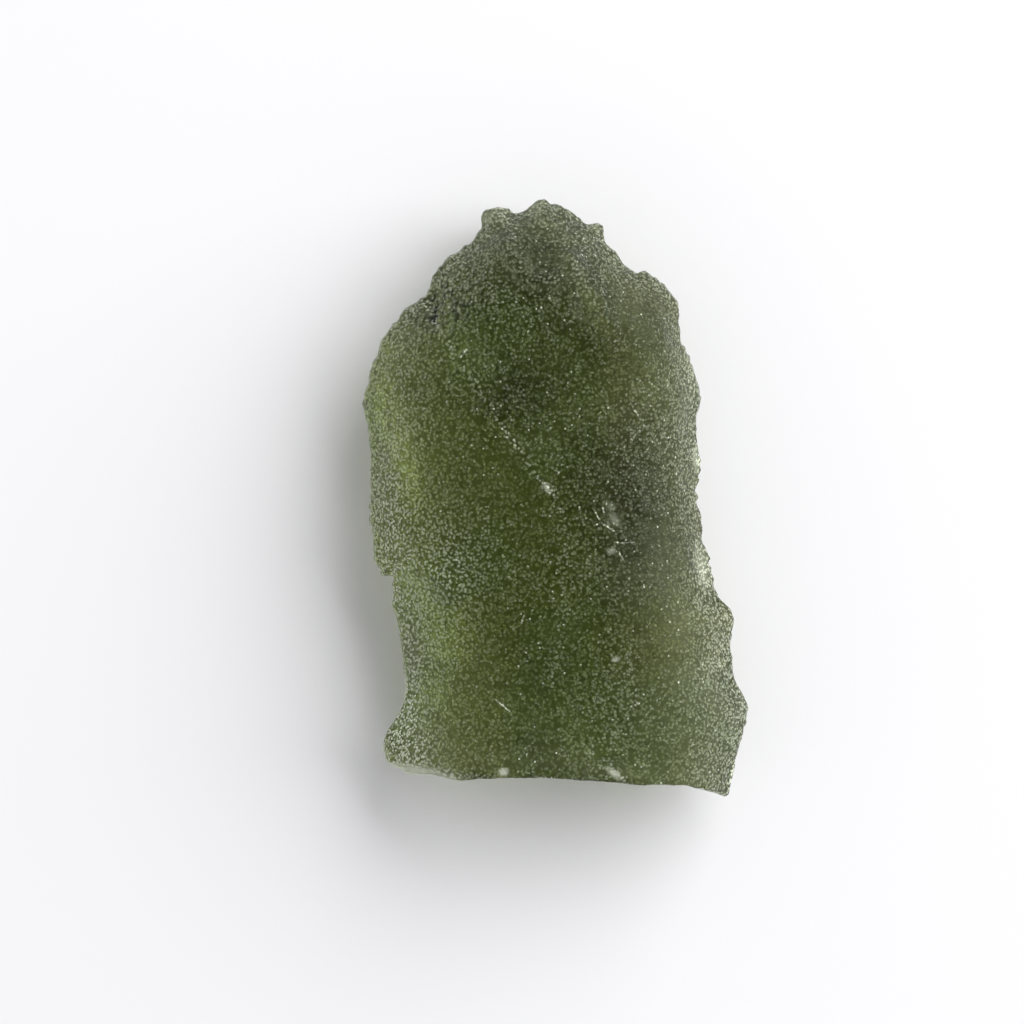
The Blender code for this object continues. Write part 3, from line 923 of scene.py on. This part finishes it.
    # pale matte share: frost, chips and scratches, and also the painted highlights and glints
    frostAndGlints = addNode(
        tree,
        "ShaderNodeBsdfPrincipled",
        {
            "Base Color": hexColour(etchedGlass["frostColour"]),
            "Roughness": etchedGlass["frostRoughness"],
            "IOR": etchedGlass["ior"],
            "Specular IOR Level": etchedGlass["specularLevel"],
        },
        {"Normal": relief},
    )
    surface = addNode(
        tree,
        "ShaderNodeMixShader",
        links={"Fac": mask.outputs["Value"], 1: glass.outputs["BSDF"], 2: frostAndGlints.outputs["BSDF"]},
    )
    inside = addNode(
        tree,
        "ShaderNodeVolumeAbsorption",
        {
            "Color": hexColour(etchedGlass["absorptionColour"]),
            "Density": etchedGlass["absorptionDensity"],
        },
    )
    addNode(
        tree,
        "ShaderNodeOutputMaterial",
        links={"Surface": surface.outputs["Shader"], "Volume": inside.outputs["Volume"]},
    )
    return material


studio = {
    "floorSize": 1.2,
    "floorDrop": 0.00003,  # a hair under the stone, so the two faces never coincide
    "floorColour": "F4F4F4",
    "floorRoughness": 0.9,
    "skyColour": "FAF9FF",  # a touch cool, against the green that the stone throws
    "skyOverhead": 0.08,  # the tent is dim overhead, where the camera looks in
    "skyHorizon": 1.25,
    "keyDistance": 0.8,
    "keyWidth": 1.2,
    "keyHeight": 0.72,
    "keyAzimuth": 36.0,  # degrees from +X towards +Y
    "keyElevation": 31.0,
    "keyPower": 11.9,
    "lens": 100.0,
    "imageWidth": 1024,
    "pixelSize": 0.05034,  # mm of stone a pixel of the photograph
    "stoneCentrePixel": (555.3, 498.35),
    "rimHeight": 2.35,  # mm, the level at which the outline is in scale
    "clip": (0.005, 10.0),  # metres in front of the camera
    "bounces": {"max": 9, "transmission": 7, "glossy": 3, "diffuse": 3},
}


def makeFloor():
    mesh = bpy.data.meshes.new("studioTable")
    half = studio["floorSize"] / 2
    level = cadBox[0][2] - studio["floorDrop"]
    corners = [(-half, -half, level), (half, -half, level), (half, half, level), (-half, half, level)]
    mesh.from_pydata(corners, [], [(0, 1, 2, 3)])
    table = bpy.data.objects.new("studioTable", mesh)
    bpy.context.scene.collection.objects.link(table)
    material = bpy.data.materials.new("paleTable")
    material.use_nodes = True
    shader = material.node_tree.nodes["Principled BSDF"]
    shader.inputs["Base Color"].default_value = hexColour(studio["floorColour"])
    shader.inputs["Roughness"].default_value = studio["floorRoughness"]
    shader.inputs["Specular IOR Level"].default_value = 0.0
    mesh.materials.append(material)


def makeLights():
    # a soft tent that is brighter towards the horizon, and one wide panel up to the right
    world = bpy.data.worlds.new("softTent")
    bpy.context.scene.world = world
    world.use_nodes = True
    tree = world.node_tree
    tree.nodes.clear()
    direction = addNode(tree, "ShaderNodeTexCoord").outputs["Generated"]
    parts = addNode(tree, "ShaderNodeSeparateXYZ", links={"Vector": direction})
    strength = addNode(
        tree,
        "ShaderNodeMapRange",
        {
            "From Min": 0.0,
            "From Max": 1.0,
            "To Min": studio["skyHorizon"],
            "To Max": studio["skyOverhead"],
        },
        {"Value": parts.outputs["Z"]},
    )
    background = addNode(
        tree,
        "ShaderNodeBackground",
        {"Color": hexColour(studio["skyColour"])},
        {"Strength": strength.outputs["Result"]},
    )
    addNode(tree, "ShaderNodeOutputWorld", links={"Surface": background.outputs["Background"]})

    lamp = bpy.data.lights.new("sidePanel", "AREA")
    lamp.shape = "RECTANGLE"
    lamp.size = studio["keyWidth"]
    lamp.size_y = studio["keyHeight"]
    lamp.energy = studio["keyPower"]
    panel = bpy.data.objects.new("sidePanel", lamp)
    azimuth = math.radians(studio["keyAzimuth"])
    elevation = math.radians(studio["keyElevation"])
    panel.location = (
        studio["keyDistance"] * math.cos(elevation) * math.cos(azimuth),
        studio["keyDistance"] * math.cos(elevation) * math.sin(azimuth),
        studio["keyDistance"] * math.sin(elevation),
    )
    panel.rotation_euler = panel.location.to_track_quat("Z", "Y").to_euler()
    bpy.context.scene.collection.objects.link(panel)


def makeCamera():
    # straight down, with the stone as far off the middle as in the photograph
    data = bpy.data.cameras.new("topCamera")
    data.lens = studio["lens"]
    data.clip_start, data.clip_end = studio["clip"]
    camera = bpy.data.objects.new("topCamera", data)
    half = studio["imageWidth"] / 2
    offX = (half - studio["stoneCentrePixel"][0]) * studio["pixelSize"] * mm
    offY = (studio["stoneCentrePixel"][1] - half) * studio["pixelSize"] * mm
    viewWidth = studio["imageWidth"] * studio["pixelSize"] * mm
    distance = viewWidth * data.lens / data.sensor_width
    camera.location = (offX, offY, studio["rimHeight"] * mm + distance)
    bpy.context.scene.collection.objects.link(camera)
    bpy.context.scene.camera = camera
    settings = bpy.context.scene.view_settings
    settings.view_transform = "Standard"
    settings.look = "None"


piece = makeStone()
piece.data.materials.append(makeGlass())
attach(piece, stone["body"])
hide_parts(stone["node"])
print("stone dressed")
makeFloor()
makeLights()
makeCamera()
cycles = bpy.context.scene.cycles
cycles.max_bounces = studio["bounces"]["max"]
cycles.transmission_bounces = studio["bounces"]["transmission"]
cycles.glossy_bounces = studio["bounces"]["glossy"]
cycles.diffuse_bounces = studio["bounces"]["diffuse"]
print("studio set")
